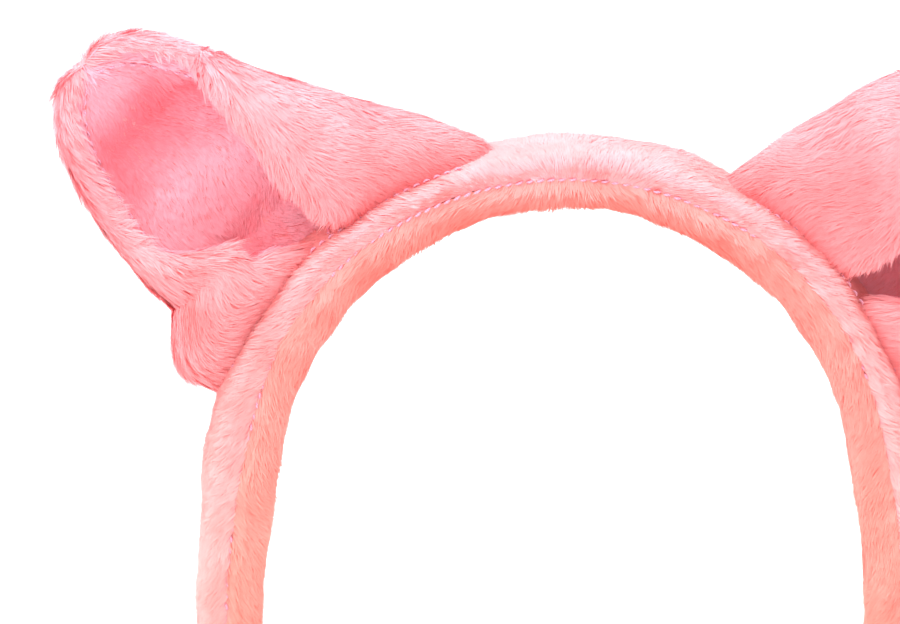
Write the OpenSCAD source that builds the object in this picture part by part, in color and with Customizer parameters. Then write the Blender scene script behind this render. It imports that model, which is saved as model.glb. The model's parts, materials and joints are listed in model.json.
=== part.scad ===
// Plush animal-ears headband: a plastic hoop, padded and sewn into a two-panel plush cover,
// with two hollow, cupped ears stitched along its upper edge.
// Origin: centre of the crown arc, half way across the band. +Z up, -Y front, +X to the right.
// Angles round the hoop are measured from the top of the crown, positive towards +X.

/* [Hoop] */
// Radius of the inner face over the crown
crown_r = 58; // [56:0.5:61]
// Angle from the top where each side starts to straighten
crown_angle = 75; // [72:1:78]
// Radius of the inner face down each side
side_r = 190; // [170:1:220]
// Angle from the top where each side ends
end_angle = 98; // [96:1:100]

/* [Band section] */
// Thickness of the covered band
band_t = 13; // [12.6:0.1:14]
// Width of the covered band, front to back
band_w = 23; // [22:0.5:26]
// Corner radius of the covered band
band_corner = 5; // [4.5:0.1:5.5]
// Thickness of the plush cover
cover_t = 2.2; // [1.8:0.1:2.4]
// Thickness of the plastic hoop
core_t = 1.7; // [1.4:0.1:2]
// Width of the plastic hoop
core_w = 13; // [10:0.5:15]
// Thickness of each strip of padding
padding_t = 3; // [2.6:0.1:3.1]
// Width of each strip of padding
padding_w = 17; // [15:0.5:17.5]

/* [Ears] */
// Height of each ear above the band
ear_h = 63; // [56:1:66]
// Thickness of one plush panel of an ear
panel_t = 2; // [1.6:0.1:2.2]
// Thickness of the foam between an ear's panels
foam_t = 1.4; // [1:0.1:1.5]
// Depth of the ear at its base, half of it
ear_base_half = 9.5; // [8.5:0.5:10.5]
// Depth of the ear near its tip, half of it
ear_tip_half = 4; // [3.5:0.5:5]
// How far the front of the cup bulges beyond a straight taper
front_bulge = 5; // [2:0.5:6]
// How far the back of the cup bulges beyond a straight taper
back_bulge = 3.5; // [2:0.5:5]
// Height of the sewn base that stays with the band when an ear tilts
hinge_gap = 6; // [5.5:0.5:8]

/* [Left ear] */
// Angle of the inner end of the base
left_inner = 13; // [10:1:18]
// Angle of the folded front edge
left_crest = 41; // [38:1:44]
// Angle of the tip
left_tip = 48.5; // [46:0.5:52]
// Angle of the outer end of the base
left_outer = 76; // [73:1:78]
// Share of the base's inner half that is a low web
left_web = 0.7; // [0.5:0.02:0.8]

/* [Right ear] */
// Angle of the inner end of the base
right_inner = 27; // [22:1:30]
// Angle of the folded front edge
right_crest = 52; // [49:1:54]
// Angle of the tip
right_tip = 56.5; // [54:0.5:60]
// Angle of the outer end of the base
right_outer = 84; // [81:1:86]
// Share of the base's inner half that is a low web
right_web = 0.32; // [0.26:0.02:0.6]

/* [Stitching] */
// Thickness of the sewing thread
thread_d = 0.7; // [0.5:0.05:0.8]
// Length of one stitch
stitch_l = 3; // [2:0.1:3.2]
// Distance from one stitch to the next
stitch_pitch = 4.8; // [4.4:0.1:6]

/* [Hidden] */
$fn = 48;
clearance = 0.2;
band_mid = band_t / 2;
core_from = band_mid - core_t / 2;
seam_groove_w = thread_d + 2 * clearance + 0.2;
seam_groove_d = thread_d + clearance;
// Gap between the two covers at their seams
seam_gap = 0.2;
core_corner = 0.8;
padding_corner = 1.2;
// Turns round the hoop's end of the stitches that close the cover, in degrees
end_turns = [25 : 26 : 155];
// How much slimmer each next stretch of the band is, and how far it reaches into the last one
step_in = 0.05;
lap = 1;
lap_angle = 0.4;
outer_r = crown_r + band_t;
// Height at which the stitches lie on the band's outer face
stitch_r = outer_r + thread_d / 2 + clearance;
// Half the distance between an ear's panels
panel_gap = foam_t / 2 + 0.4;
// How far the foam stops short of an ear's edges, as a share of the grid
foam_inset = 0.09;
// Rows and columns of the ear's surface grid
ear_cols = 24;
ear_rows = 14;
// Grid parameter at which an ear's panels stop short of the pointed tip
ear_top = 0.95;
// Fullness of a ring's corners: 1 is an ellipse, less is squarer
ring_power = 0.8;
// How fast the low web on the inner side falls away up the ear
web_power = 2.6;
// Shares of the outer side that are the low lobe and the tall rim, and how fast the lobe falls away
lobe_share = 0.44;
lobe_power = 4;
rim_share = 0.54;
// Height of the front lip of the cup, as a share of the ear, and how fast it falls away above that
lip_height = 0.17;
lip_power = 1.5;
// Degrees that the lip closes round the front, and that the outer rim always does
lip_turn = 60;
rim_turn = 15;
// A panel's thickness at its rim, and how far it takes to reach its full thickness, as shares
rim_fullness = 0.4;
rim_zone = 0.1;
tip_zone = 0.15;
// Stitches along an ear's rim: distance from the rim, number, first and last height, filled share
rim_inset = 0.015;
rim_count = 16;
rim_from = 0.17;
rim_to = 0.92;
rim_filled = 0.6;
// How far an ear's base stitches stay from its ends, in degrees, and from the band's edges
base_margin = 4;
base_inset = 5.5;
// Length of the stitches across a pleat and the angle between them
tack_l = 8;
tack_step = 2;
left_ear = [left_inner, left_crest, left_tip, left_outer, left_web];
right_ear = [right_inner, right_crest, right_tip, right_outer, right_web];

// ---- The hoop's path ----

// Puts its children on the hoop's inner face: local Z points out of the hoop, local X along it.
module on_hoop(angle) {
    turned = abs(angle) > crown_angle;
    middle = turned ? sign(angle) * crown_angle : 0;
    offset_r = turned ? crown_r - side_r : 0;
    translate([offset_r * sin(middle), 0, offset_r * cos(middle)])
        rotate([0, angle, 0])
            translate([0, 0, crown_r - offset_r])
                children();
}

// Sweeps a flat section along the hoop: its X is the height over the inner face, its Y the width.
// Each stretch is a hair slimmer than the one it grows out of, so that they join cleanly.
module swept() {
    $slim = 0;
    arc(-crown_angle, crown_angle, 0) children();
    for (side = [0, 1])
        mirror([side, 0, 0]) {
            $slim = step_in;
            arc(crown_angle - lap_angle, end_angle, crown_r - side_r) children();
            on_hoop(end_angle) {
                $slim = 2 * step_in;
                rounded_end() children();
            }
        }
}

// One arc of the sweep. Its centre lies back from the crown's, on the line to the crown's end.
module arc(from, to, back) {
    translate([back * sin(crown_angle), 0, back * cos(crown_angle)])
        rotate([90, 0, 0])
            rotate([0, 0, 90 - to])
                rotate_extrude(angle = to - from)
                    translate([crown_r - back, 0])
                        children();
}

// Half a turn of the section about the line across the band's thickness.
module rounded_end() {
    rotate([0, -90, 0]) linear_extrude(lap) children();
    rotate([0, 0, -90])
        rotate_extrude(angle = 180)
            intersection() {
                mirror([1, -1, 0]) children();
                square([band_w, band_t]);
            }
}

// ---- Sections ----

module rounded_box(from, t, w, r) {
    translate([from, 0]) {
        translate([r, -w / 2]) square([t - 2 * r, w]);
        translate([0, r - w / 2]) square([t, w - 2 * r]);
        for (x = [r, t - r], y = [-1, 1])
            translate([x, y * (w / 2 - r)]) circle(r);
    }
}

// A solid strip's section.
module strip_section(from, t, w, r) {
    rounded_box(from + $slim, t - 2 * $slim, w - 2 * $slim, r - $slim);
}

module cover_section() {
    wall = cover_t - $slim;
    difference() {
        strip_section(0, band_t, band_w, band_corner);
        rounded_box(wall, band_t - 2 * wall, band_w - 2 * wall, band_corner - wall);
        for (side = [-1, 1])
            translate([band_mid, side * band_w / 2])
                square([seam_groove_w, 2 * seam_groove_d] + 2 * $slim * [1, 1], center = true);
    }
}

// ---- The band's pieces ----

module hoop_core() {
    color("ivory") swept() strip_section(core_from, core_t, core_w, core_corner);
}

module inner_padding() {
    color("white") swept()
        strip_section(core_from - clearance - padding_t, padding_t, padding_w, padding_corner);
}

module outer_padding() {
    color("white") swept()
        strip_section(core_from + core_t + clearance, padding_t, padding_w, padding_corner);
}

module inner_cover() {
    color("lightsalmon") swept()
        intersection() {
            cover_section();
            translate([0, -band_w / 2]) square([band_mid - seam_gap / 2 - $slim, band_w]);
        }
}

module outer_cover() {
    color("pink") swept()
        intersection() {
            cover_section();
            translate([band_mid + seam_gap / 2 + $slim, -band_w / 2]) square([band_mid, band_w]);
        }
}

// One stitch lying along the hoop, at a height over its inner face.
module stitch(height, y) {
    translate([0, y, height])
        rotate([0, 90, 0])
            cylinder(d = thread_d, h = stitch_l, center = true);
}

// A row of stitches in the groove between the two covers.
module seam(y) {
    crown_step = stitch_pitch / (crown_r + band_mid) * 180 / PI;
    crown_count = floor(crown_angle / crown_step);
    side_step = stitch_pitch / (side_r + band_mid) * 180 / PI;
    side_count = floor((end_angle - crown_angle) / side_step) - 1;
    for (i = [-crown_count : crown_count]) on_hoop(i * crown_step) stitch(band_mid, y);
    for (side = [-1, 1], i = [1 : side_count])
        on_hoop(side * (crown_angle + i * side_step)) stitch(band_mid, y);
}

// Where the middle of a seam stitch lies, from the middle of the band.
seam_y = band_w / 2 - seam_groove_d + clearance + thread_d / 2;

module front_seam_thread() {
    color("hotpink") seam(-seam_y);
}

module rear_seam_thread() {
    color("hotpink") seam(seam_y);
}

// The stitches that close the cover round one end of the hoop.
module end_stitches(side) {
    color("hotpink")
        for (turn = end_turns)
            mirror([side, 0, 0]) on_hoop(end_angle)
                rotate([0, 0, turn - 90])
                    translate([seam_y, 0, band_mid])
                        rotate([90, 0, 0])
                            cylinder(d = thread_d, h = stitch_l, center = true);
}

module left_end_stitches() {
    end_stitches(1);
}

module right_end_stitches() {
    end_stitches(0);
}

// ---- The ears ----
// An ear is a cone of open rings round the hoop's own centre. A ring starts at the folded front
// edge, runs round the inner side and the back, and ends at the outer rim.
// q is the height up the ear and s the place along a ring, both from 0 to 1.

function inner_share(q, web) = web * pow(1 - q, web_power) + (1 - web) * sqrt(1 - q * q);
function outer_share(q) = lobe_share * pow(1 - q, lobe_power) + rim_share * sqrt(1 - q * q);
function inner_angle(ear, q) = ear[2] - (ear[2] - ear[0]) * inner_share(q, ear[4]);
function outer_angle(ear, q) = ear[2] + (ear[3] - ear[2]) * outer_share(q);
function half_depth(q, bulge) =
    ear_base_half + (ear_tip_half - ear_base_half) * q * q + bulge * sin(180 * q);
function rim_angle(q) = 180 + rim_turn + lip_turn * exp(-pow(q / lip_height, lip_power));

function ring_start(ear, q) =
    let (low = inner_angle(ear, q), high = outer_angle(ear, q))
    -acos(min(1, (low + high - 2 * ear[1]) / (high - low)));

function polar(angle, r, y) = [r * sin(angle), y, r * cos(angle)];

function ear_point(ear, s, q) =
    let (
        low = inner_angle(ear, q),
        high = outer_angle(ear, q),
        from = ring_start(ear, q),
        turn = from + (rim_angle(q) - from) * s,
        depth = half_depth(q, turn < 0 || turn > 180 ? front_bulge : back_bulge)
    )
    polar((low + high) / 2 - (high - low) / 2 * cos(turn), outer_r + ear_h * q,
        depth * sign(sin(turn)) * pow(abs(sin(turn)), ring_power));

function unit(v) = v / norm(v);
step = 0.004;

// Rows are spaced to follow the round tip: v runs from 0 at the base to 1 at the tip.
function height_at(v) = sin(90 * v);
function grid_point(ear, s, v) = ear_point(ear, s, height_at(v));

// The direction out of the cup, away from its hollow.
function out_of_cup(ear, s, v) =
    unit(cross(grid_point(ear, s, v + step) - grid_point(ear, s, v - step),
        grid_point(ear, s + step, v) - grid_point(ear, s - step, v)));

function smooth(x) = let (t = min(1, max(0, x))) t * t * (3 - 2 * t);

// A panel thins towards the rim, where the two panels are sewn together.
function fullness(s, v) =
    rim_fullness + (1 - rim_fullness) * smooth(min(s / rim_zone, (1 - s) / rim_zone, (1 - v) / tip_zone));

// One layer of the ear, between two heights over the middle surface.
module ear_layer(ear, near, far, inset) {
    first = asin(hinge_gap / ear_h) / 90;
    last = ear_top - inset;
    function at(level, i, j) =
        let (
            s = inset + (1 - 2 * inset) * i / ear_cols,
            v = first + (last - first) * j / ear_rows,
            thick = near + (far - near) * fullness(s, v),
            lift = level ? max(near, thick) : min(near, thick)
        )
        grid_point(ear, s, v) + lift * out_of_cup(ear, s, v);
    columns = ear_cols + 1;
    layer = columns * (ear_rows + 1);
    function low(i, j) = j * columns + i;
    function high(i, j) = layer + low(i, j);
    points = [for (level = [0, 1], j = [0 : ear_rows], i = [0 : ear_cols]) at(level, i, j)];
    sheets = [for (j = [0 : ear_rows - 1], i = [0 : ear_cols - 1]) each [
        [high(i, j), high(i + 1, j), high(i + 1, j + 1)],
        [high(i, j), high(i + 1, j + 1), high(i, j + 1)],
        [low(i, j), low(i + 1, j + 1), low(i + 1, j)],
        [low(i, j), low(i, j + 1), low(i + 1, j + 1)]
    ]];
    base_and_tip = [for (i = [0 : ear_cols - 1]) each [
        [high(i + 1, 0), high(i, 0), low(i, 0)],
        [high(i + 1, 0), low(i, 0), low(i + 1, 0)],
        [high(i, ear_rows), high(i + 1, ear_rows), low(i + 1, ear_rows)],
        [high(i, ear_rows), low(i + 1, ear_rows), low(i, ear_rows)]
    ]];
    edges = [for (j = [0 : ear_rows - 1]) each [
        [high(0, j), high(0, j + 1), low(0, j + 1)],
        [high(0, j), low(0, j + 1), low(0, j)],
        [high(ear_cols, j + 1), high(ear_cols, j), low(ear_cols, j)],
        [high(ear_cols, j + 1), low(ear_cols, j), low(ear_cols, j + 1)]
    ]];
    polyhedron(points, concat(sheets, base_and_tip, edges));
}

module outer_panel(ear) {
    color("pink") ear_layer(ear, panel_gap, panel_gap + panel_t, 0);
}

module inner_panel(ear) {
    color("lightcoral") ear_layer(ear, -panel_gap, -panel_gap - panel_t, 0);
}

module foam(ear) {
    color("white") ear_layer(ear, -foam_t / 2, foam_t / 2, foam_inset);
}

// A straight piece of thread from one point to another.
module thread_between(from, to) {
    way = to - from;
    translate(from)
        rotate([0, acos(way[2] / norm(way)), atan2(way[1], way[0])])
            cylinder(d = thread_d, h = norm(way));
}

// The seam that joins an ear's two panels, just inside the rim.
module rim_stitches(ear) {
    pitch = (rim_to - rim_from) / rim_count;
    color("hotpink")
        for (s = [rim_inset, 1 - rim_inset], i = [0 : rim_count - 1])
            thread_between(grid_point(ear, s, rim_from + i * pitch),
                grid_point(ear, s, rim_from + (i + rim_filled) * pitch));
}

// A row of stitches along one edge of an ear's base.
module base_stitches(ear, y) {
    pitch = stitch_pitch / outer_r * 180 / PI;
    color("hotpink")
        for (angle = [ear[0] + base_margin : pitch : min(ear[3], crown_angle) - base_margin])
            on_hoop(angle) stitch(stitch_r - crown_r, y);
}

// The stitches across the band that hold the pleat at the foot of an ear's folded edge.
module pleat_tack(ear) {
    color("hotpink")
        for (angle = [ear[1] - tack_step, ear[1], ear[1] + tack_step])
            on_hoop(angle)
                translate([0, 0, stitch_r - crown_r])
                    rotate([90, 0, 0])
                        cylinder(d = thread_d, h = tack_l, center = true);
}

stitch_y = band_w / 2 - base_inset;

module left_ear_outer_panel() {
    mirror([1, 0, 0]) outer_panel(left_ear);
}

module left_ear_inner_panel() {
    mirror([1, 0, 0]) inner_panel(left_ear);
}

module left_ear_foam() {
    mirror([1, 0, 0]) foam(left_ear);
}

module left_ear_rim_stitches() {
    mirror([1, 0, 0]) rim_stitches(left_ear);
}

module left_ear_front_stitches() {
    mirror([1, 0, 0]) base_stitches(left_ear, -stitch_y);
}

module left_ear_back_stitches() {
    mirror([1, 0, 0]) base_stitches(left_ear, stitch_y);
}

module left_ear_pleat_tack() {
    mirror([1, 0, 0]) pleat_tack(left_ear);
}

module right_ear_outer_panel() {
    outer_panel(right_ear);
}

module right_ear_inner_panel() {
    inner_panel(right_ear);
}

module right_ear_foam() {
    foam(right_ear);
}

module right_ear_rim_stitches() {
    rim_stitches(right_ear);
}

module right_ear_front_stitches() {
    base_stitches(right_ear, -stitch_y);
}

module right_ear_back_stitches() {
    base_stitches(right_ear, stitch_y);
}

module right_ear_pleat_tack() {
    pleat_tack(right_ear);
}

hoop_core();
inner_padding();
outer_padding();
inner_cover();
outer_cover();
front_seam_thread();
rear_seam_thread();
left_end_stitches();
right_end_stitches();
left_ear_outer_panel();
left_ear_inner_panel();
left_ear_foam();
left_ear_rim_stitches();
left_ear_front_stitches();
left_ear_back_stitches();
left_ear_pleat_tack();
right_ear_outer_panel();
right_ear_inner_panel();
right_ear_foam();
right_ear_rim_stitches();
right_ear_front_stitches();
right_ear_back_stitches();
right_ear_pleat_tack();
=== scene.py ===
"""The looks of a plush animal-ears headband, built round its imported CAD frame.

The frame is in metres. The shapes here are worked out in millimetres, and a mesh is scaled as it is made.
The origin is the centre of the crown's arc, +Z is up and the front is -Y. Angles round the hoop are in
degrees from its top, positive towards +X. The left ear is worked out on the +X side and mirrored.
"""

import json
import math

import bpy
import numpy as np
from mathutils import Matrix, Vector


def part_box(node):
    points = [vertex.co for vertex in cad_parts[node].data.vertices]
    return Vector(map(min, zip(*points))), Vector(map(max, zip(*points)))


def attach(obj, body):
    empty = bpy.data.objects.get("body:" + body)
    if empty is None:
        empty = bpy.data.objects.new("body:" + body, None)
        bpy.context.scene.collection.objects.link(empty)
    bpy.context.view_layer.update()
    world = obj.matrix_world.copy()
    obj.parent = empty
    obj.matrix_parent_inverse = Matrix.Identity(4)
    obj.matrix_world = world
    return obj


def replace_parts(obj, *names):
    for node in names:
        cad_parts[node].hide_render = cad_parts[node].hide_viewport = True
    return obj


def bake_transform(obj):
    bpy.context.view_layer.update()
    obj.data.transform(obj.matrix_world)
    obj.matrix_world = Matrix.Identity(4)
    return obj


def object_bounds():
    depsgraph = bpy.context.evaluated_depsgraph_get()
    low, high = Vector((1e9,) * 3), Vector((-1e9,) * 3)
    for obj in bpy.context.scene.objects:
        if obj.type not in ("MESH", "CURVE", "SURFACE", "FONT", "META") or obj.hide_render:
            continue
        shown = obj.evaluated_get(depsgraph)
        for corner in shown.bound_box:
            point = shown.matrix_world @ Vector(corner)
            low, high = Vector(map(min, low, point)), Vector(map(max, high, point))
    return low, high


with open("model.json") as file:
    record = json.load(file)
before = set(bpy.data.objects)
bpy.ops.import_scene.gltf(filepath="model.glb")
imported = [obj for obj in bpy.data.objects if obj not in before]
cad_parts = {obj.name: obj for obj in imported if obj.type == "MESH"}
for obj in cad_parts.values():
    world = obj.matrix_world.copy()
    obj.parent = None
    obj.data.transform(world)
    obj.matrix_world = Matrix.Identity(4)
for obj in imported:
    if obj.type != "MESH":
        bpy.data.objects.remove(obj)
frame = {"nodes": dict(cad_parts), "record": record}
cad_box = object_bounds()

MM = 0.001

# ---- Driving dimensions, from the frame where it states them ----

head_grip = next(m for m in frame["record"]["mounts"] if m["name"] == "head_grip")
cover_low, cover_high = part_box("outer_cover")
CROWN_R = head_grip["dims"]["r_mm"]
BAND_T = cover_high.z / MM - CROWN_R
BAND_W = (cover_high.y - cover_low.y) / MM
OUTER_R = CROWN_R + BAND_T
CROWN_ANGLE = 75
SIDE_R = 190
END_ANGLE = 98

# The band's cover. Its sewn skins lie below the CAD's faces by the depth of the pile that stands on them.
BAND_PILE_DEPTH = 0.65
SECTION_POWER = 3.1
SKIN_T = 0.8
SEAM_HEIGHT = 1.3

# The stitches.
STITCH_PITCH = 2.3
STITCH_L = 1.6
THREAD_D = 0.55
FOOT_SEAM_Y = 6.5

# The ears: height, half depths at the foot and the tip, how far the front and the back swell at half
# height and are drawn in at the foot, and half the thickness from the middle to either panel's face.
EAR_H = 60.5
EAR_BASE_HALF = 9.5
EAR_TIP_HALF = 4
FRONT_BULGE = 3.5
BACK_BULGE = 2.5
FRONT_TUCK = 5.5
BACK_TUCK = 2
EAR_HALF_T = 2.7
RIM_W = 5.5
FOAM_T = 1.2

# How finely the skins are made: columns across each face of an ear, and across a panel of the cover.
OUTER_COLUMNS = 130
INNER_COLUMNS = 100
FOAM_COLUMNS = 60
HOLLOW_COLUMNS = 120
COVER_COLUMNS = 72

# A strand's length and width in millimetres, and how far it leans from upright in degrees.
BAND_STRAND = (3.2, 0.17, 82)
EAR_STRAND = (4.0, 0.17, 81)
HOLLOW_STRAND = (2.5, 0.17, 79)
FRINGE_STRAND = (3.0, 0.13, 58)
STEEPEST_LEAN = 85
STRAND_POINTS = 5


# ---- Small helpers ----

def unit(v):
    return v / np.maximum(np.linalg.norm(v, axis=-1, keepdims=True), 1e-9)


def smooth(x):
    t = np.clip(x, 0, 1)
    return t * t * (3 - 2 * t)


def polar(angle, r, y):
    """The point at an angle in degrees round the hoop's centre, r from it and y back from the middle."""
    a = np.radians(angle)
    return np.stack([r * np.sin(a), y + 0 * a, r * np.cos(a)], axis=-1)


def waves(seed, size, count=20):
    """A smooth random field over space, mostly from -1 to 1, whose bumps are about size across."""
    rng = np.random.default_rng(seed)
    ways = unit(rng.normal(size=(count, 3))) * rng.uniform(0.6, 1.5, (count, 1)) * math.pi / size
    phases = rng.uniform(0, 2 * math.pi, count)
    return lambda points: np.sin(points @ ways.T + phases).sum(-1) / math.sqrt(count)


def from_seam(turn):
    """Degrees round the band's section from the nearer of its two seams."""
    return np.minimum(turn % 180, -turn % 180)


def make_mesh(name, points, faces_of_size, maps=None):
    """A mesh object from points in millimetres and arrays of faces, one array for each number of corners.
    maps gives UV maps by name, with a place for each point."""
    mesh = bpy.data.meshes.new(name)
    corners = np.concatenate([f.ravel() for f in faces_of_size]).astype(np.int32)
    sizes = np.concatenate([np.full(len(f), f.shape[1]) for f in faces_of_size]).astype(np.int32)
    starts = np.concatenate([[0], np.cumsum(sizes)[:-1]]).astype(np.int32)
    mesh.vertices.add(len(points))
    mesh.vertices.foreach_set("co", (points * MM).astype(np.float32).ravel())
    mesh.loops.add(len(corners))
    mesh.loops.foreach_set("vertex_index", corners)
    mesh.polygons.add(len(sizes))
    mesh.polygons.foreach_set("loop_start", starts)
    for key, uv in (maps or {}).items():
        layer = mesh.uv_layers.new(name=key)
        layer.data.foreach_set("uv", uv[corners].astype(np.float32).ravel())
    mesh.update(calc_edges=True)
    piece = bpy.data.objects.new(name, mesh)
    bpy.context.scene.collection.objects.link(piece)
    return piece


# ---- Skins: grids of points with their normals ----

class Skin:
    """A grid of points on a surface. Rows run up it and columns across it."""

    def __init__(self, points, mirrored=False):
        self.points = points
        self.up = unit(np.gradient(points, axis=0))
        self.across = unit(np.gradient(points, axis=1))
        turn = -1 if mirrored else 1
        self.normals = turn * unit(np.cross(self.up, self.across))
        self.mirrored = mirrored

    def turned_over(self):
        """This skin, facing the other way."""
        self.normals = -self.normals
        self.mirrored = not self.mirrored
        return self

    def shell(self, name, thickness):
        """A closed solid of that thickness, with the skin as its outer face."""
        rows, columns = self.points.shape[:2]
        inner = self.points - thickness * self.normals
        points = np.concatenate([self.points.reshape(-1, 3), inner.reshape(-1, 3)])
        index = np.arange(rows * columns).reshape(rows, columns)
        outside = np.stack([index[:-1, :-1], index[1:, :-1], index[1:, 1:], index[:-1, 1:]], -1)
        outside = outside.reshape(-1, 4)
        edge = np.concatenate([index[0, :-1], index[:-1, -1], index[-1, :0:-1], index[:0:-1, 0]])
        following = np.roll(edge, -1)
        below = rows * columns
        inside = outside[:, ::-1] + below
        sides = np.stack([edge, following, following + below, edge + below], -1)
        faces = np.concatenate([outside, inside, sides])
        if self.mirrored:
            faces = faces[:, ::-1]
        return make_mesh(name, points, [faces])

    def scatter(self, rng, per_mm2, weight=None):
        """Random places on the skin, as many as its weighted area asks for, with what lies there."""
        p = self.points
        a = p[1:, :-1] - p[:-1, :-1]
        b = p[:-1, 1:] - p[:-1, :-1]
        share = np.linalg.norm(np.cross(a, b), axis=-1)
        if weight is not None:
            share = share * (weight[:-1, :-1] + weight[1:, 1:]) / 2
        total = np.cumsum(share.ravel())
        count = int(per_mm2 * total[-1])
        even = (np.arange(count) + rng.uniform(0, 1, count)) * (total[-1] / count)
        cell = np.minimum(np.searchsorted(total, even), share.size - 1)
        i, j = np.divmod(cell, share.shape[1])
        u, v = rng.uniform(0, 1, (2, count, 1))

        def at(field):
            f = field if field.ndim == 3 else field[..., None]
            low = f[i, j] * (1 - v) + f[i, j + 1] * v
            high = f[i + 1, j] * (1 - v) + f[i + 1, j + 1] * v
            return low * (1 - u) + high * u
        return at


# ---- Pile: tapered tufts of plush, in clumps ----

def pile(name, skin, seed, length, width, lean, comb, weight=None, length_share=None, tone=None,
         per_mm2=1.5, strands=9, gather=0.2, spread=0.9):
    """Plush on a skin: clumps of thin tapered strands that rise from it and lean over.

    length and width are a strand's, in millimetres, and lean its angle from upright in degrees. comb is
    the grid of directions that the pile lies in. weight says where it grows, length_share scales its
    length over the grid, and tone shifts the colour towards the deep end of the plush's range (-0.5) or
    the pale end (0.5). per_mm2 counts clumps, spread is a clump's radius at its roots, and gather the
    share of it that is gone at the tips."""
    rng = np.random.default_rng(seed)
    at = skin.scatter(rng, per_mm2, weight)
    root, normal, way = at(skin.points), unit(at(skin.normals)), at(comb)
    count = len(root)
    swirl = 0.3 * waves(seed + 1, 11)(root) + 0.14 * rng.normal(size=count)
    way = unit(way - normal * (way * normal).sum(-1, keepdims=True))
    beside = np.cross(normal, way)
    way = way * np.cos(swirl)[:, None] + beside * np.sin(swirl)[:, None]
    beside = np.cross(normal, way)
    share = 1 if length_share is None else at(length_share)
    patch = 1 + 0.1 * waves(seed + 2, 6)(root)[:, None]
    reach = length * share * patch * rng.uniform(0.8, 1.2, (count, 1))
    leaning = lean + 2 * waves(seed + 3, 5)(root) + 1.5 * rng.normal(size=count)
    leaning = np.radians(np.minimum(leaning, STEEPEST_LEAN))[:, None]
    tip = reach * (np.cos(leaning) * normal + np.sin(leaning) * way)
    bend = 0.85 * leaning
    rise = 0.5 * reach * (np.cos(bend) * normal + np.sin(bend) * way)

    each = np.repeat(np.arange(count), strands)
    n = len(each)
    turn, far = rng.uniform(0, 2 * math.pi, n), spread * np.sqrt(rng.uniform(0, 1, n))
    offset = (far * np.cos(turn))[:, None] * way[each] + (far * np.sin(turn))[:, None] * beside[each]
    size = rng.uniform(0.75, 1.1, (n, 1))
    start = root[each] + offset - 0.05 * normal[each]
    jitter = 0.025 * reach[each] * rng.normal(size=(n, 3))
    end = start + size * tip[each] - gather * offset + jitter
    control = start + size * rise[each] + 0.3 * jitter
    middle = 0.25 * start + 0.5 * control + 0.25 * end
    side = unit(np.cross(end - start, normal[each]) + 0.06 * rng.normal(size=(n, 3)))
    half = 0.5 * width * rng.uniform(0.7, 1.3, (n, 1)) * side
    points = np.stack([start + half, start - half, middle - 0.8 * half, middle + 0.8 * half, end], 1)
    base = STRAND_POINTS * np.arange(n)[:, None]
    quads = base + np.array([0, 1, 2, 3])
    tips = base + np.array([3, 2, 4])
    shade = 0.5 + 0.05 * waves(seed + 4, 7)(root) + 0.03 * waves(seed + 5, 2.5)(root)
    # tone paints light and shade from the callers into the strands' colour
    if tone is not None:
        shade = shade + at(tone)[:, 0]
    shade = np.clip(shade[each] + 0.03 * rng.normal(size=n), 0.01, 0.99)
    along = np.tile(np.array([0, 0, 0.5, 0.5, 1]), n)
    strand = np.stack([np.repeat(shade, STRAND_POINTS), along], -1)
    # The colours are also laid out for a baked image, in a map of the name that the exporter looks for: a
    # strand there is a narrow slip of its own tone.
    slip = np.tile(np.array([0.003, -0.003, -0.003, 0.003, 0]), n)
    baked = np.stack([strand[:, 0] + slip, 0.02 + 0.96 * along], -1)
    maps = {"strand": strand, "OFBake": baked}
    return make_mesh(name, points.reshape(-1, 3), [quads[:, ::-1], tips[:, ::-1]], maps)


# ---- Thread: short rounded stitches ----

def stitches(name, starts, ends, outward, rise=0.25, sides=8, rings=7):
    """A row of stitches, each a tapered thread from a start to an end that arches outward."""
    t = np.linspace(0, 1, rings)
    arch = np.sin(math.pi * t)
    way = unit(ends - starts)
    beside = np.cross(outward, way)
    spine = starts[:, None] + (ends - starts)[:, None] * t[:, None]
    spine = spine + rise * arch[:, None] * outward[:, None]
    radius = THREAD_D / 2 * (0.25 + 0.75 * np.sqrt(arch))
    a = np.linspace(0, 2 * math.pi, sides, endpoint=False)
    ring = np.cos(a)[:, None] * beside[:, None, None] + np.sin(a)[:, None] * outward[:, None, None]
    points = spine[:, :, None] + radius[:, None, None] * ring
    count = len(starts)
    index = np.arange(count * rings * sides).reshape(count, rings, sides)
    after = np.roll(index, -1, axis=2)
    quads = np.stack([index[:, :-1], after[:, :-1], after[:, 1:], index[:, 1:]], -1).reshape(-1, 4)
    caps = np.concatenate([index[:, 0, ::-1], index[:, -1]])
    return make_mesh(name, points.reshape(-1, 3), [quads, caps])


# ---- The hoop's path and the band's skins ----

def on_hoop(angle):
    """The inner face's point at an angle round the hoop, the way out of it and the way along it."""
    angle = np.asarray(angle, float)
    middle = np.where(np.abs(angle) > CROWN_ANGLE, np.sign(angle) * CROWN_ANGLE, 0)
    back = np.where(np.abs(angle) > CROWN_ANGLE, CROWN_R - SIDE_R, 0)
    out = polar(angle, 1.0, 0.0)
    face = polar(middle, back, 0.0) + out * (CROWN_R - back)[..., None]
    along = np.stack([out[..., 2], 0 * angle, -out[..., 0]], axis=-1)
    return face, out, along


def section(turn):
    """Height over the inner face and width of the band's skin, at a turn in degrees from the front seam."""
    t = BAND_T - 2 * BAND_PILE_DEPTH
    w = BAND_W - 2 * BAND_PILE_DEPTH
    s, c = np.sin(np.radians(turn)), np.cos(np.radians(turn))
    height = BAND_T / 2 + t / 2 * np.sign(s) * np.abs(s) ** (2 / SECTION_POWER)
    width = -w / 2 * np.sign(c) * np.abs(c) ** (2 / SECTION_POWER)
    near_seam = np.exp(-from_seam(turn) ** 2 / 18)
    return height + SEAM_HEIGHT * np.abs(c) ** 4, width * (1 - 0.05 * near_seam)


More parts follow.
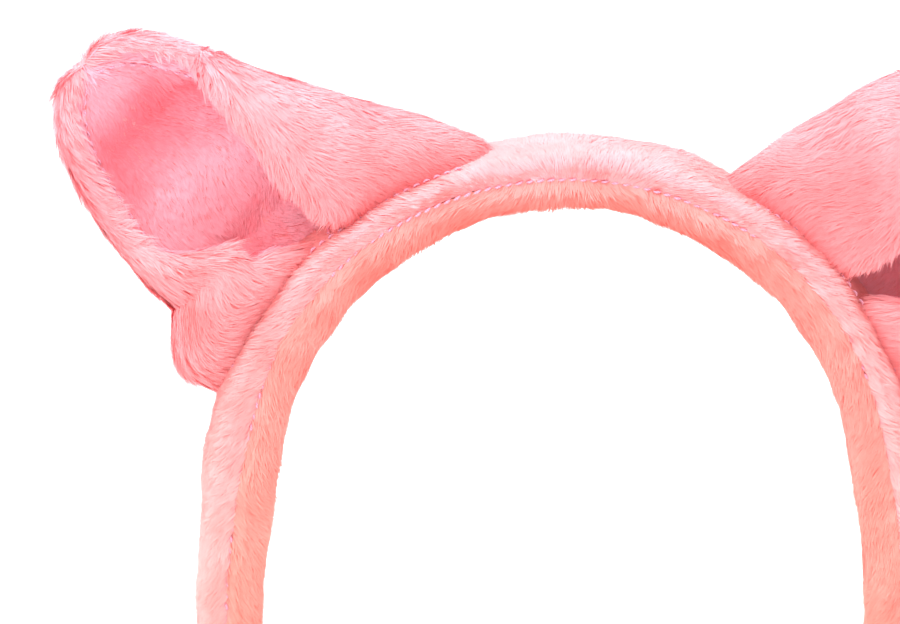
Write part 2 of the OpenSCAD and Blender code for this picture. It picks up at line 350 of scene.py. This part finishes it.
def swell(angle, turn):
    """How far bunched padding pushes the skin beyond the even section."""
    s = np.sin(np.radians(turn))
    left_leg = 1.5 * smooth((-angle - 36) / 12) + 1.4 * np.exp(-(((angle + 76) / 7) ** 2))
    right_leg = 1.2 * smooth((angle - 30) / 12) * smooth((84 - angle) / 12)
    over_the_head = 1.3 * np.exp(-(((np.abs(angle) - 42) / 26) ** 4))
    return np.where(s > 0, left_leg + right_leg, over_the_head) * s


def hoop_angles(step):
    """Angles from one end of the hoop to the other, about step millimetres apart along it."""
    crown = np.radians(CROWN_ANGLE) * OUTER_R
    side = np.radians(END_ANGLE - CROWN_ANGLE) * SIDE_R
    across = np.linspace(-CROWN_ANGLE, CROWN_ANGLE, int(2 * crown / step))
    down = np.linspace(CROWN_ANGLE, END_ANGLE, int(side / step))[1:]
    return np.concatenate([-down[::-1], across, down])


def band_skin(low_turn, high_turn, columns=COVER_COLUMNS, step=1.2, cap_rows=12):
    """One panel of the band's cover, from one rounded end to the other, and each row's angle."""
    angles = hoop_angles(step)
    cap = np.linspace(0, 90, cap_rows + 1)[1:]
    rows = np.concatenate([np.full(cap_rows, -END_ANGLE), angles, np.full(cap_rows, END_ANGLE)])
    bend = np.concatenate([cap[::-1], 0 * angles, cap])
    turns = np.linspace(low_turn, high_turn, columns)
    height, width = section(turns)
    face, out, along = on_hoop(rows)
    b = np.radians(bend)[:, None]
    height = height + swell(rows[:, None], turns)
    points = face[:, None] + out[:, None] * height[..., None]
    points[..., 1] = width * np.cos(b)
    beyond = np.sign(rows)[:, None] * np.abs(width) * np.sin(b)
    points = points + along[:, None] * beyond[..., None]
    skin = Skin(points)
    lumps = 0.35 * waves(11, 14)(points) + 0.18 * waves(12, 5)(points)
    pucker = np.exp(-from_seam(turns) ** 2 / 60)
    lumps = lumps + 0.25 * pucker * waves(13, 2.6)(points)
    skin = Skin(points + lumps[..., None] * skin.normals)
    return skin, rows, turns


def band_comb(skin, rows, outward):
    """The pile lies down each side from the crown, and away from the front seam."""
    down = np.tanh(rows / 18)[:, None, None] * skin.up
    return down + outward * skin.across


def seam_shortening(rows, turns):
    """The pile is trapped and short along the two seams, most of all over the crown."""
    near = np.exp(-from_seam(turns) ** 2 / 40)
    crown = np.exp(-((rows / 40) ** 4))
    return 1 - 0.4 * crown[:, None] * near


def seam_thread(name, turn, node):
    """The machine stitches along the front or the rear seam of the band."""
    angles = hoop_angles(STITCH_PITCH)
    height, width = section(np.array([float(turn)]))
    face, out, along = on_hoop(angles)
    sunk = 0.9 * smooth((np.abs(angles) - 28) / 14)
    middle = face + out * height[0]
    middle[:, 1] = math.copysign(1, width[0]) * (abs(width[0]) + 0.35 - sunk)
    outward = np.zeros_like(middle)
    outward[:, 1] = math.copysign(1, width[0])
    half = along * STITCH_L / 2 + 0.12 * STITCH_L * out
    piece = stitches(name, middle - half, middle + half, outward)
    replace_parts(piece, node)
    return piece


# ---- The ears ----

class Ear:
    """A cone of open rings round the hoop's centre, as in the frame: a ring starts at the folded front
    edge, runs round the inner side and the back, and closes some way round the front as a lip.

    inner, crest, tip and outer are angles round the hoop: of the foot's inner end, of the folded front
    edge, of the tip and of the foot's outer end. web is how much of the inner side sweeps down to the
    foot like a web, and not in a round arch."""

    def __init__(self, side, inner, crest, tip, outer, web, seed):
        self.side = side
        self.inner = inner
        self.crest = crest
        self.tip = tip
        self.outer = outer
        self.web = web
        self.lumps = waves(seed, 17)
        self.dents = waves(seed + 1, 8)

    def edges(self, q):
        """The angles of the ear's inner and outer side at a height q, from 0 at the band to 1 at the tip."""
        round_top = np.sqrt(np.maximum(0, 1 - q * q))
        low = self.web * (1 - q) ** 2.9 + (1 - self.web) * round_top
        lobe = 0.3 * (1 - smooth((q - 0.15) / 0.12))
        high = (0.66 - 0.24 * q) * round_top + lobe
        return self.tip - (self.tip - self.inner) * low, self.tip + (self.outer - self.tip) * high

    def middle(self, s, v):
        """Points half way through the ear, s along each ring and v up the ear."""
        v = np.broadcast_to(v, s.shape)
        climb = np.where(v > 0, np.sin(np.pi / 2 * v), np.pi / 2 * v)
        q = np.clip(climb, 0, 1)
        low, high = self.edges(q)
        wide = np.maximum(high - low, 1e-6)
        start = -np.degrees(np.arccos(np.clip((low + high - 2 * self.crest) / wide, -1, 1)))
        end = 195 + 72 * np.exp(-((q / 0.4) ** 2.6))
        turn = np.radians(start + (end - start) * s)
        front = np.sin(turn) < 0
        bulge = np.where(front, FRONT_BULGE, BACK_BULGE)
        tuck = np.where(front, FRONT_TUCK, BACK_TUCK) * (1 - smooth(q / 0.18))
        depth = EAR_BASE_HALF + (EAR_TIP_HALF - EAR_BASE_HALF) * q ** 1.6 + bulge * np.sin(np.pi * q) - tuck
        depth = depth * np.sqrt(1 - q ** 7)
        y = depth * np.sign(np.sin(turn)) * np.abs(np.sin(turn)) ** 0.8
        points = polar((low + high) / 2 - wide / 2 * np.cos(turn), OUTER_R + EAR_H * climb, y)
        sway = smooth(q / 0.25)
        points[..., 1] += sway * (1.1 * self.lumps(points) + 0.35 * self.dents(points))
        return points

    def skin(self, layout, columns, rows=110, offset=EAR_HALF_T, top=0.985):
        """One face of the ear, offset from its middle. layout gives each column's place along the ring,
        the side of the middle that it lies on and how far it is from the ring's ends."""
        v = np.linspace(-0.06, top, rows)[:, None]
        fine = self.middle(np.broadcast_to(np.linspace(0, 1, 200), (rows, 200)), v)
        ring = np.linalg.norm(np.diff(fine, axis=1), axis=-1).sum(1)[:, None]
        place, sign, edge = layout(ring, columns)
        climb = np.where(v > 0, np.sin(np.pi / 2 * v), 0)
        edge = np.minimum(edge, EAR_H * (1 - climb))
        curve = np.clip(edge / EAR_HALF_T, 0, 1)
        lift = sign * offset * np.sqrt(1 - (1 - curve) ** 2)
        middle = self.middle(place, v)
        step = 0.003
        ds = self.middle(place + step, v) - self.middle(place - step, v)
        dv = self.middle(place, v + step) - self.middle(place, v - step)
        points = middle + lift[..., None] * unit(np.cross(dv, ds))
        return points, v, ring

    def placed(self, points):
        """A skin of these points, mirrored if it is the left ear."""
        if self.side == "left":
            points = points * np.array([-1, 1, 1])
        return Skin(points, mirrored=self.side == "left")


def outer_columns(ring, columns):
    """Columns of the outer panel: it turns in round both ends of the ring by the rim's width."""
    strip = 14
    turn_in = np.minimum(RIM_W, ring / 2) * (1 - np.cos(np.linspace(np.pi / 2, 0, strip + 1)[:-1]))
    t = np.linspace(0, 1, columns)
    across = (1 - np.cos(np.pi * t)) / 2 * ring
    distance = np.minimum(across, ring - across)
    first = turn_in / ring
    place = np.concatenate([first, across / ring, 1 - first[:, ::-1]], 1)
    edge = np.concatenate([turn_in, distance, turn_in[:, ::-1]], 1)
    sign = np.concatenate([-np.ones(strip), np.ones(columns), -np.ones(strip)])[None]
    return place, sign, edge


def inside_columns(ring, columns):
    """Columns over the whole inside of the ear, from rim to rim, for its pile."""
    across = (1 - np.cos(np.pi * np.linspace(0, 1, columns))) / 2 * ring
    return across / ring, -np.ones((1, columns)), np.minimum(across, ring - across)


def inner_columns(ring, columns):
    """Columns of the inner panel, which fills the cup inside the rim."""
    rim = np.minimum(RIM_W - 0.4, 0.499 * ring)
    t = np.linspace(0, 1, columns)
    across = rim + (ring - 2 * rim) * t
    return across / ring, -np.ones((1, columns)), np.minimum(across, ring - across)


def whole_columns(ring, columns):
    """Columns of the foam sheet, which stops short of both rims and is as thick all over."""
    t = (1 - np.cos(np.pi * np.linspace(0, 1, columns))) / 2
    inset = 0.06
    place = inset + (1 - 2 * inset) * t + 0 * ring
    return place, np.ones((1, columns)), 99 + 0 * place


EARS = [
    Ear("left", inner=15.5, crest=41, tip=48.5, outer=76, web=0.68, seed=31),
    Ear("right", inner=30.5, crest=52.5, tip=56.5, outer=84, web=0.23, seed=41),
]


# ---- Materials ----

class Nodes:
    """A new node material with one Principled shader."""

    def __init__(self, name, roughness, sheen=0.0, sheen_tint=(1, 1, 1), specular=0.3):
        self.material = bpy.data.materials.new(name)
        self.material.use_nodes = True
        self.tree = self.material.node_tree
        self.shader = self.tree.nodes["Principled BSDF"]
        self.shader.inputs["Roughness"].default_value = roughness
        self.shader.inputs["Sheen Weight"].default_value = sheen
        self.shader.inputs["Sheen Roughness"].default_value = 0.6
        self.shader.inputs["Sheen Tint"].default_value = (*sheen_tint, 1)
        self.shader.inputs["Specular IOR Level"].default_value = specular

    def add(self, kind, **settings):
        node = self.tree.nodes.new(kind)
        for key, value in settings.items():
            setattr(node, key, value)
        return node

    def link(self, source, target):
        self.tree.links.new(source, target)

    def noise(self, scale, detail=3.0):
        """A noise field over the object's own space."""
        place = self.add("ShaderNodeTexCoord")
        node = self.add("ShaderNodeTexNoise")
        node.inputs["Scale"].default_value = scale
        node.inputs["Detail"].default_value = detail
        self.link(place.outputs["Object"], node.inputs["Vector"])
        return node.outputs["Fac"]

    def ramp(self, value, stops):
        node = self.add("ShaderNodeValToRGB")
        elements = node.color_ramp.elements
        while len(elements) < len(stops):
            elements.new(0.5)
        for element, (at, color) in zip(elements, stops):
            element.position = at
            element.color = (*color, 1)
        self.link(value, node.inputs["Fac"])
        return node.outputs["Color"]

    def mix(self, factor, a, b, blend="MIX"):
        node = self.add("ShaderNodeMix", data_type="RGBA", blend_type=blend)
        color_inputs = [i for i in node.inputs if i.type == "RGBA"]
        for socket, value in ((node.inputs[0], factor), (color_inputs[0], a), (color_inputs[1], b)):
            if isinstance(value, bpy.types.NodeSocket):
                self.link(value, socket)
            elif isinstance(value, tuple):
                socket.default_value = (*value, 1)
            else:
                socket.default_value = value
        return [o for o in node.outputs if o.type == "RGBA"][0]

    def bump(self, height, strength, distance):
        node = self.add("ShaderNodeBump")
        node.inputs["Strength"].default_value = strength
        node.inputs["Distance"].default_value = distance
        self.link(height, node.inputs["Height"])
        self.link(node.outputs["Normal"], self.shader.inputs["Normal"])


def srgb(red, green, blue):
    """A colour given as 0 to 255 screen values, as linear light."""
    return tuple(((c / 255 + 0.055) / 1.055) ** 2.4 for c in (red, green, blue))


def plush(name, deep, body, pale):
    """Plush pile. A strand's tone comes from its patch, and painted shade makes it a little deeper at its
    root. The pile is also painted warmer low on the headband than at the top, as a painted warm light from
    below."""
    m = Nodes(name, 0.9, sheen=0.2, sheen_tint=pale, specular=0.1)
    uv = m.add("ShaderNodeUVMap", uv_map="strand")
    split = m.add("ShaderNodeSeparateXYZ")
    m.link(uv.outputs["UV"], split.inputs["Vector"])
    tone = m.ramp(split.outputs["X"], [(0.0, deep), (0.5, body), (1.0, pale)])
    # painted shade at each strand's root
    along = m.ramp(split.outputs["Y"], [(0.0, (1.0, 0.9, 0.9)), (0.7, (1.0, 1.0, 1.0))])
    color = m.mix(1.0, tone, along, "MULTIPLY")
    patch = m.ramp(m.noise(90), [(0.35, (1.0, 0.95, 0.95)), (0.65, (1.0, 1.0, 1.0))])
    color = m.mix(1.0, color, patch, "MULTIPLY")
    # painted warm light from below: warmer low on the headband than at the top
    place = m.add("ShaderNodeTexCoord")
    apart = m.add("ShaderNodeSeparateXYZ")
    m.link(place.outputs["Object"], apart.inputs["Vector"])
    height = m.add("ShaderNodeMapRange")
    height.inputs["From Min"].default_value = -0.02
    height.inputs["From Max"].default_value = 0.075
    m.link(apart.outputs["Z"], height.inputs["Value"])
    painted_warm_light = m.ramp(height.outputs["Result"], [(0.0, (1.0, 1.0, 0.9)), (1.0, (1.0, 1.0, 1.0))])
    m.link(m.mix(1.0, color, painted_warm_light, "MULTIPLY"), m.shader.inputs["Base Color"])
    return m.material


def backing(name, deep, pale):
    """The knitted backing that the pile grows from."""
    m = Nodes(name, 0.9, sheen=0.2, sheen_tint=pale, specular=0.1)
    color = m.ramp(m.noise(400), [(0.3, deep), (0.7, pale)])
    m.link(color, m.shader.inputs["Base Color"])
    m.bump(m.noise(1600, 2.0), 0.4, 0.0004)
    return m.material


def thread_material(name, color):
    """Twisted sewing thread."""
    m = Nodes(name, 0.6, sheen=0.2, sheen_tint=color, specular=0.4)
    place = m.add("ShaderNodeTexCoord")
    twist = m.add("ShaderNodeTexWave", wave_type="BANDS", bands_direction="DIAGONAL")
    twist.inputs["Scale"].default_value = 900
    twist.inputs["Distortion"].default_value = 1.5
    m.link(place.outputs["Object"], twist.inputs["Vector"])
    shade = tuple(0.7 * c for c in color)
    m.link(m.ramp(twist.outputs["Fac"], [(0.2, shade), (0.8, color)]), m.shader.inputs["Base Color"])
    m.bump(twist.outputs["Fac"], 0.5, 0.0001)
    return m.material


def foam_material(name, color):
    """Open-cell foam and wadding."""
    m = Nodes(name, 0.95, specular=0.1)
    cells = m.add("ShaderNodeTexVoronoi")
    cells.inputs["Scale"].default_value = 900
    place = m.add("ShaderNodeTexCoord")
    m.link(place.outputs["Object"], cells.inputs["Vector"])
    shade = tuple(0.8 * c for c in color)
    m.link(m.ramp(cells.outputs["Distance"], [(0.0, shade), (0.6, color)]), m.shader.inputs["Base Color"])
    m.bump(cells.outputs["Distance"], 0.6, 0.0005)
    return m.material


def plastic_material(name, color):
    """Satin moulded plastic with faint flow marks."""
    m = Nodes(name, 0.4, specular=0.5)
    pale = tuple(min(1, 1.05 * c) for c in color)
    m.link(m.ramp(m.noise(60, 5.0), [(0.3, color), (0.7, pale)]), m.shader.inputs["Base Color"])
    m.bump(m.noise(300, 4.0), 0.15, 0.0002)
    return m.material


MATERIALS = {
    "band_plush": plush("band_plush", srgb(252, 146, 142), srgb(254, 180, 182), srgb(255, 214, 222)),
    "lining_plush": plush("lining_plush", srgb(246, 124, 112), srgb(250, 158, 150), srgb(252, 188, 184)),
    "ear_plush": plush("ear_plush", srgb(252, 134, 136), srgb(254, 178, 184), srgb(255, 212, 222)),
    "ear_lining": plush("ear_lining", srgb(250, 128, 142), srgb(254, 176, 192), srgb(255, 208, 224)),
    "band_backing": backing("band_backing", srgb(254, 160, 164), srgb(255, 178, 182)),
    "lining_backing": backing("lining_backing", srgb(252, 146, 136), srgb(253, 160, 152)),
    "thread": thread_material("thread", srgb(248, 178, 202)),
    "wadding": foam_material("wadding", srgb(246, 244, 240)),
    "hoop_plastic": plastic_material("hoop_plastic", srgb(232, 228, 220)),
}


def finish_with(piece, slot, material=None):
    """Gives a piece one material: the one named by material, or else the one named after the slot."""
    piece.data.materials.clear()
    piece.data.materials.append(MATERIALS[material or slot])
    return piece


# ---- Building the band ----

def painted_band_light_and_shade(skin, rows, turns):
    """Painted light and shade on the band's pile: painted light makes it paler over the crown, painted shade
    makes it deeper where the crown's pile faces the head and round the ears' feet, and it is even down the
    sides."""
    crown = np.exp(-((rows / 56) ** 4))[:, None]
    facing_up = skin.normals[..., 2]
    # painted light and shade by which way the pile faces: deepest where it faces down to the head
    painted_crown_light_and_shade = np.where(facing_up > 0, 0.34 - 0.26 * facing_up, 0.1 + 0.75 * facing_up)
    # painted shade on the band's top round the ears' feet
    side = np.abs(rows)[:, None]
    painted_shade_by_ears = smooth((side - 18) / 8) * smooth((84 - side) / 6)
    painted_shade_by_ears = painted_shade_by_ears * smooth((np.sin(np.radians(turns)) - 0.4) / 0.4)
    return crown * painted_crown_light_and_shade + (1 - crown) * 0.15 - 0.25 * painted_shade_by_ears


def build_band():
    """The cover's two panels with their pile, and the two seams that join them."""
    upper, rows, turns = band_skin(0, 180)
    lower, _, low_turns = band_skin(-180, 0)
    seed = 100
    for skin, panel, slot_name, backing_name, comb, skin_turns, fill in (
            (upper, "outer_cover", "band_plush", "band_backing", 0.7, turns, 0.8),
            (lower, "inner_cover", "lining_plush", "lining_backing", -0.5, low_turns, 0.7)):
        backing_piece = skin.shell(f"{panel}_backing", SKIN_T)
        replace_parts(backing_piece, panel)
        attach(finish_with(backing_piece, slot_name, backing_name), "band")
        front = np.abs(skin_turns) < 90
        quarters = (("left_front", rows < 0, front), ("left_back", rows < 0, ~front),
                    ("right_front", rows >= 0, front), ("right_back", rows >= 0, ~front))
        for quarter, along, across in quarters:
            seed += 10
            piece = pile(f"{panel}_pile_{quarter}", skin, seed, *BAND_STRAND,
                         band_comb(skin, rows, comb), weight=1.0 * along[:, None] * across,
                         length_share=seam_shortening(rows, skin_turns),
                         tone=painted_band_light_and_shade(skin, rows, skin_turns))
            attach(finish_with(piece, slot_name), "band")
    for name, turn, node in (("front_seam_stitches", 0, "front_seam_thread"),
                             ("rear_seam_stitches", 180, "rear_seam_thread")):
        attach(finish_with(seam_thread(name, turn, node), "thread"), "band")


# ---- Building an ear ----

def blend_to_band(piece, ear):
    """Moves the piece's placement into its mesh, so that it stays where it was made."""
    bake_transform(piece)


def rim_thread(name, lining, v):
    """The stitches that join an ear's two panels, just inside both edges of its rim."""
    starts, ends, outward = [], [], []
    above = v[:, 0] > 0.12
    for column in (0, -1):
        line, normal = lining.points[above, column], lining.normals[above, column]
        far = np.concatenate([[0], np.cumsum(np.linalg.norm(np.diff(line, axis=0), axis=1))])

        def at(distance, field):
            return np.stack([np.interp(distance, far, field[:, k]) for k in range(3)], -1)
        places = np.arange(0, far[-1] - 2 * STITCH_PITCH, STITCH_PITCH)
        out = unit(at(places, normal))
        starts.append(at(places, line) + 0.35 * out)
        ends.append(at(places + STITCH_L, line) + 0.35 * out)
        outward.append(out)
    return stitches(name, np.concatenate(starts), np.concatenate(ends), np.concatenate(outward))


def foot_seam(name, ear, y):
    """The hand stitches along one edge of an ear's foot, drawn down into the band's pile."""
    pitch = math.degrees(STITCH_PITCH / OUTER_R)
    angles = np.arange(ear.inner + 3, min(ear.outer, CROWN_ANGLE) - 3, pitch)
    if ear.side == "left":
        angles = -angles
    face, out, along = on_hoop(angles)
    middle = face + out * (BAND_T - BAND_PILE_DEPTH - 0.1 + swell(angles, 90))[:, None]
    middle[:, 1] = y
    piece = stitches(name, middle - along * STITCH_L / 2, middle + along * STITCH_L / 2, out)
    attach(finish_with(piece, "thread"), "band")
    return piece


def ear_sheets(name, outer, inner, foam):
    """The closed solids of an ear's two panels and of the foam sheet between them."""
    sheets = []
    for skin, label, node, thickness, slot, material, fill in (
            (outer, "outer_panel_backing", "outer_panel", SKIN_T, "ear_plush", "band_backing", 0.35),
            (inner, "inner_panel_backing", "inner_panel", SKIN_T, "ear_lining", "band_backing", 0.3),
            (foam, "foam_sheet", "foam", FOAM_T, "wadding", "wadding", 0.9)):
        sheet = skin.shell(f"{name}_{label}", thickness)
        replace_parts(sheet, f"{name}_{node}")
        finish_with(sheet, slot, material)
        sheets.append(sheet)
    return sheets


def painted_ear_light_and_shade(ear, outer, place, edge, v):
    """Painted light and shade over an ear's outside: painted light where it faces up and at the rim, and
    painted shade at its foot, low on the folded front edge, along the lip and where the lobe leaves the rim.
    It is also deeper at the tip, and a little deeper all over on the right ear."""
    facing_up = np.maximum(outer.normals[..., 2], 0.1)
    near_edge = np.exp(-((edge / 5) ** 2))
    foot = np.exp(-((np.clip(v, 0, 1) / 0.045) ** 2))
    fold = (place < 0.35) * np.exp(-((v / 0.4) ** 2))
    lip = near_edge * (place > 0.5) * (1 - smooth((v - 0.3) / 0.12))
    # painted shadow where the rim passes in front of the lobe
    painted_lobe_shadow = np.exp(-(((v - 0.15) / 0.05) ** 2) - ((place - 0.9) / 0.035) ** 2)
    rim = near_edge * smooth((v - 0.35) / 0.1)
    # painted light where the ear faces up and at the rim; painted shade at the foot, the fold and the lip;
    # deeper towards the tip
    tone = 0.12 + 0.22 * (facing_up - 0.35) - 0.2 * foot * (1 + (place > 0.75)) - 0.22 * fold
    tone = tone - 0.5 * painted_lobe_shadow - 0.1 * lip + 0.1 * rim - 0.07 * smooth((v - 0.74) / 0.1)
    return tone - 0.06 if ear.side == "right" else tone


def outside_pile(ear, name, outer, v, ring, seed):
    """The pile over an ear's back, flap and rim, and the ragged fringe along its upper rim."""
    place, sign, edge = outer_columns(ring, OUTER_COLUMNS)
    tone = painted_ear_light_and_shade(ear, outer, place, edge, v)
    near_edge = np.exp(-((edge / 5) ** 2))
    outside = smooth((v + 0.055) / 0.02) * (sign > 0)
    over_lip = smooth((v - 0.25) / 0.15)
    outward = np.where(place < 0.5, -0.7, 0.8 * over_lip)
    comb = -outer.up + (near_edge * outward)[..., None] * outer.across
    longer = 1 + 0.3 * near_edge * (sign > 0)
    along = np.linspace(0, 1, place.shape[1])
    piles = []
    for part, low, high in (("crest", 0.0, 0.3), ("inner_back", 0.3, 0.48),
                            ("outer_back", 0.48, 0.66), ("lip", 0.66, 1.01)):
        piles.append(pile(f"{name}_pile_{part}", outer, seed, *EAR_STRAND, comb,
                          weight=outside * (along >= low) * (along < high), length_share=longer, tone=tone))
        seed += 10
    ragged = -outer.up + 1.4 * np.sign(outward)[..., None] * outer.across
    upper_rim = outside * (edge < 1.4) * smooth((v - 0.3) / 0.1)
    piles.append(pile(f"{name}_rim_fringe", outer, seed, *FRINGE_STRAND, ragged, weight=upper_rim,
                      tone=tone, per_mm2=0.5, strands=14, gather=0.6))
    return [finish_with(piece, "ear_plush") for piece in piles]


def hollow_pile(ear, name, v, ring, seed):
    """The short pile inside an ear's cup, with painted shade that makes it deep under its top and at its
    foot, and painted light that makes it pale between.
    """
    hollow = ear.placed(ear.skin(inside_columns, HOLLOW_COLUMNS)[0]).turned_over()
    place, _, edge = inside_columns(ring, HOLLOW_COLUMNS)
    climb = np.sin(np.pi / 2 * np.clip(v, 0, 1))
    edge = np.minimum(edge, EAR_H * (1 - climb))
    # painted shade under the ear's top and at its foot, and painted light between them
    deep = smooth((edge - 3) / 12) * np.exp(-(((climb - 0.78) / 0.22) ** 2))
    low = np.exp(-(((climb - 0.2) / 0.14) ** 2))
    painted_light_between = smooth((edge - 4) / 10) * np.exp(-(((climb - 0.42) / 0.14) ** 2))
    tone = 0.2 - 0.65 * deep - 0.3 * low + 0.28 * painted_light_between
    piles = []
    for half, keep in (("inner", place < 0.5), ("outer", place >= 0.5)):
        piles.append(pile(f"{name}_hollow_pile_{half}", hollow, seed, *HOLLOW_STRAND, -hollow.up,
                          weight=smooth((v + 0.05) / 0.03) * keep, tone=tone))
        seed += 10
    return [finish_with(piece, "ear_lining") for piece in piles]


def build_ear(ear):
    """An ear's panels, foam, seams and pile. The foot's stitches go with the band."""
    name = f"{ear.side}_ear"
    seed = {"left": 300, "right": 400}[ear.side]
    points, v, ring = ear.skin(outer_columns, OUTER_COLUMNS)
    outer = ear.placed(points)
    inner = ear.placed(ear.skin(inner_columns, INNER_COLUMNS)[0]).turned_over()
    foam = ear.placed(ear.skin(whole_columns, FOAM_COLUMNS, offset=FOAM_T / 2, top=0.9)[0])
    pieces = ear_sheets(name, outer, inner, foam)
    for edge, y in (("front", -FOOT_SEAM_Y), ("back", FOOT_SEAM_Y)):
        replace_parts(foot_seam(f"{name}_{edge}_foot_seam", ear, y), f"{name}_{edge}_stitches")
    rim_seam = finish_with(rim_thread(f"{name}_rim_seam", inner, v), "thread")
    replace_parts(rim_seam, f"{name}_rim_stitches")
    pieces.append(rim_seam)
    pieces += outside_pile(ear, name, outer, v, ring, seed)
    pieces += hollow_pile(ear, name, v, ring, seed + 50)
    for piece in pieces:
        blend_to_band(piece, ear)


# ---- What stays as the frame made it ----

def dress_frame_nodes():
    """The hidden pieces and the hand stitches keep their CAD shape and get real materials."""
    slots = {part["node"]: part["material_slot"] for part in frame["record"]["subparts"]}
    for name, node in frame["nodes"].items():
        if slots[name] in ("thread", "wadding", "hoop_plastic"):
            node.data.materials.clear()
            node.data.materials.append(MATERIALS[slots[name]])


# ---- Studio ----

def area_light(name, place, aim, size, watts, color):
    lamp = bpy.data.lights.new(name, "AREA")
    lamp.shape = "SQUARE"
    lamp.size = size
    lamp.energy = watts
    lamp.color = color
    rig = bpy.data.objects.new(name, lamp)
    rig.location = place
    rig.rotation_euler = (Vector(aim) - Vector(place)).to_track_quat("-Z", "Y").to_euler()
    bpy.context.scene.collection.objects.link(rig)


def pale_floor():
    """A wide matt floor, a little below the hoop's ends."""
    mesh = bpy.data.meshes.new("floor")
    reach = 6.0
    height = cad_box[0].z - 0.02
    corners = [(x * reach, y * reach, height) for x, y in ((-1, -1), (1, -1), (1, 1), (-1, 1))]
    mesh.from_pydata(corners, [], [(0, 1, 2, 3)])
    floor = bpy.data.objects.new("floor", mesh)
    bpy.context.scene.collection.objects.link(floor)
    paint = Nodes("floor_paint", 0.9, specular=0.1)
    paint.link(paint.ramp(paint.noise(2), [(0.3, (0.9, 0.9, 0.9)), (0.7, (0.93, 0.93, 0.93))]),
               paint.shader.inputs["Base Color"])
    floor.data.materials.append(paint.material)


def studio():
    """Even white light from all round, and two wide soft lamps above."""
    scene = bpy.context.scene
    scene.view_settings.view_transform = "Standard"
    world = bpy.data.worlds.new("studio")
    world.use_nodes = True
    world.node_tree.nodes["Background"].inputs["Color"].default_value = (1, 1, 1, 1)
    world.node_tree.nodes["Background"].inputs["Strength"].default_value = 0.97
    scene.world = world
    scene.cycles.diffuse_bounces = 12
    scene.cycles.max_bounces = 16
    pale_floor()
    area_light("key", (-0.5, -0.5, 1.1), (0, 0, 0.03), 1.4, 17, (1.0, 0.98, 1.0))
    area_light("top", (0.2, 0.3, 1.2), (0, 0, 0.03), 1.6, 14, (0.94, 0.97, 1.0))


def camera():
    """A long lens straight in front, 18 degrees above the horizon, with the photo's framing."""
    elevation = math.radians(18)
    distance = 1.6
    frame_width = 0.1854
    aim = Vector((-0.0239, 0, 0.034))
    lens = bpy.data.cameras.new("camera")
    lens.sensor_width = 36
    lens.lens = lens.sensor_width * distance / frame_width
    rig = bpy.data.objects.new("camera", lens)
    back = Vector((0, -math.cos(elevation), math.sin(elevation)))
    rig.location = aim + distance * back
    rig.rotation_euler = (-back).to_track_quat("-Z", "Y").to_euler()
    lens.clip_end = 50
    bpy.context.scene.collection.objects.link(rig)
    bpy.context.scene.camera = rig


camera()
studio()
dress_frame_nodes()
build_band()
for one_ear in EARS:
    build_ear(one_ear)
